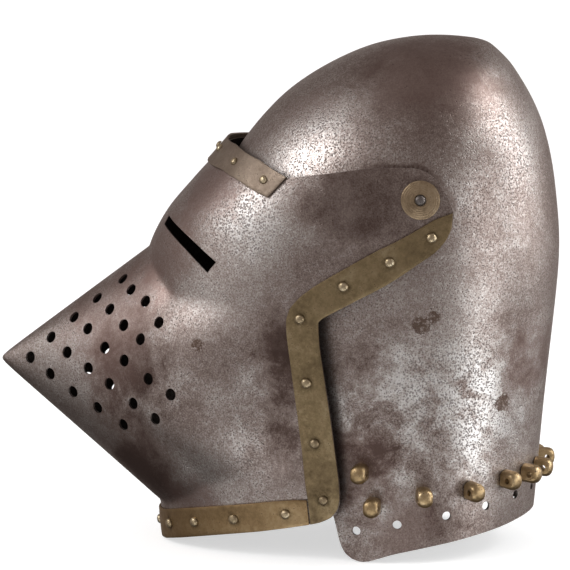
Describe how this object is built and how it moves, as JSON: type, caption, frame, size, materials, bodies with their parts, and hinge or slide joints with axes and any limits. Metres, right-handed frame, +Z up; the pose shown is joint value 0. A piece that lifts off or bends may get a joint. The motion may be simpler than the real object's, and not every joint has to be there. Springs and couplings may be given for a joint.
{
  "type": "hounskull bascinet helmet",
  "caption": "Pointed steel helmet with a pivoting long-snouted visor, eye slots, breath holes, brass edging and neck staples.",
  "frame": {"origin": "centre of the bounding box in plan, on the floor it rests on", "axes": "+Z up, -Y the way the snout points, +X the wearer's left"},
  "size_m": [0.2184, 0.375, 0.3377],
  "materials": {
    "skull_steel": "worn, pitted",
    "visor_steel": "worn, pitted",
    "brow_brass": "dull brown",
    "chin_brass": "aged",
    "side_brass": "aged, dark",
    "washer_brass": "aged",
    "pin_steel": "dark",
    "vervelle_brass": "worn",
    "rivet_brass": "worn bright"
  },
  "bodies": {
    "skull_body": {"skull": "skull_steel", "pivot_pin_left": "pin_steel", "pivot_pin_right": "pin_steel", "pivot_washer_left": "washer_brass", "pivot_washer_right": "washer_brass", "vervelle_left_1": "vervelle_brass", "vervelle_left_2": "vervelle_brass", "vervelle_left_3": "vervelle_brass", "vervelle_left_4": "vervelle_brass", "vervelle_left_5": "vervelle_brass", "vervelle_left_6": "vervelle_brass", "vervelle_left_7": "vervelle_brass", "vervelle_right_1": "vervelle_brass", "vervelle_right_2": "vervelle_brass", "vervelle_right_3": "vervelle_brass", "vervelle_right_4": "vervelle_brass", "vervelle_right_5": "vervelle_brass", "vervelle_right_6": "vervelle_brass", "vervelle_right_7": "vervelle_brass"},
    "visor_body": {"visor": "visor_steel", "brow_plate": "brow_brass", "chin_band": "chin_brass", "side_band_left": "side_brass", "side_band_right": "side_brass", "side_rivet_left_1": "rivet_brass", "side_rivet_left_2": "rivet_brass", "side_rivet_left_3": "rivet_brass", "side_rivet_left_4": "rivet_brass", "side_rivet_left_5": "rivet_brass", "side_rivet_left_6": "rivet_brass", "side_rivet_left_7": "rivet_brass", "side_rivet_right_1": "rivet_brass", "side_rivet_right_2": "rivet_brass", "side_rivet_right_3": "rivet_brass", "side_rivet_right_4": "rivet_brass", "side_rivet_right_5": "rivet_brass", "side_rivet_right_6": "rivet_brass", "side_rivet_right_7": "rivet_brass", "chin_rivet_left_1": "rivet_brass", "chin_rivet_left_2": "rivet_brass", "chin_rivet_left_3": "rivet_brass", "chin_rivet_left_4": "rivet_brass", "chin_rivet_right_1": "rivet_brass", "chin_rivet_right_2": "rivet_brass", "chin_rivet_right_3": "rivet_brass", "chin_rivet_right_4": "rivet_brass", "chin_rivet_centre": "rivet_brass", "brow_rivet_left_1": "rivet_brass", "brow_rivet_left_2": "rivet_brass", "brow_rivet_left_3": "rivet_brass", "brow_rivet_right_1": "rivet_brass", "brow_rivet_right_2": "rivet_brass", "brow_rivet_right_3": "rivet_brass", "brow_rivet_centre": "rivet_brass"}
  },
  "joints": [
    {"name": "visor_pivot", "type": "hinge", "parent": "skull_body", "child": "visor_body", "pos_m": [0, 0.10189, 0.23799], "axis": [-1, 0, 0], "range_deg": [0, 100]}
  ]
}
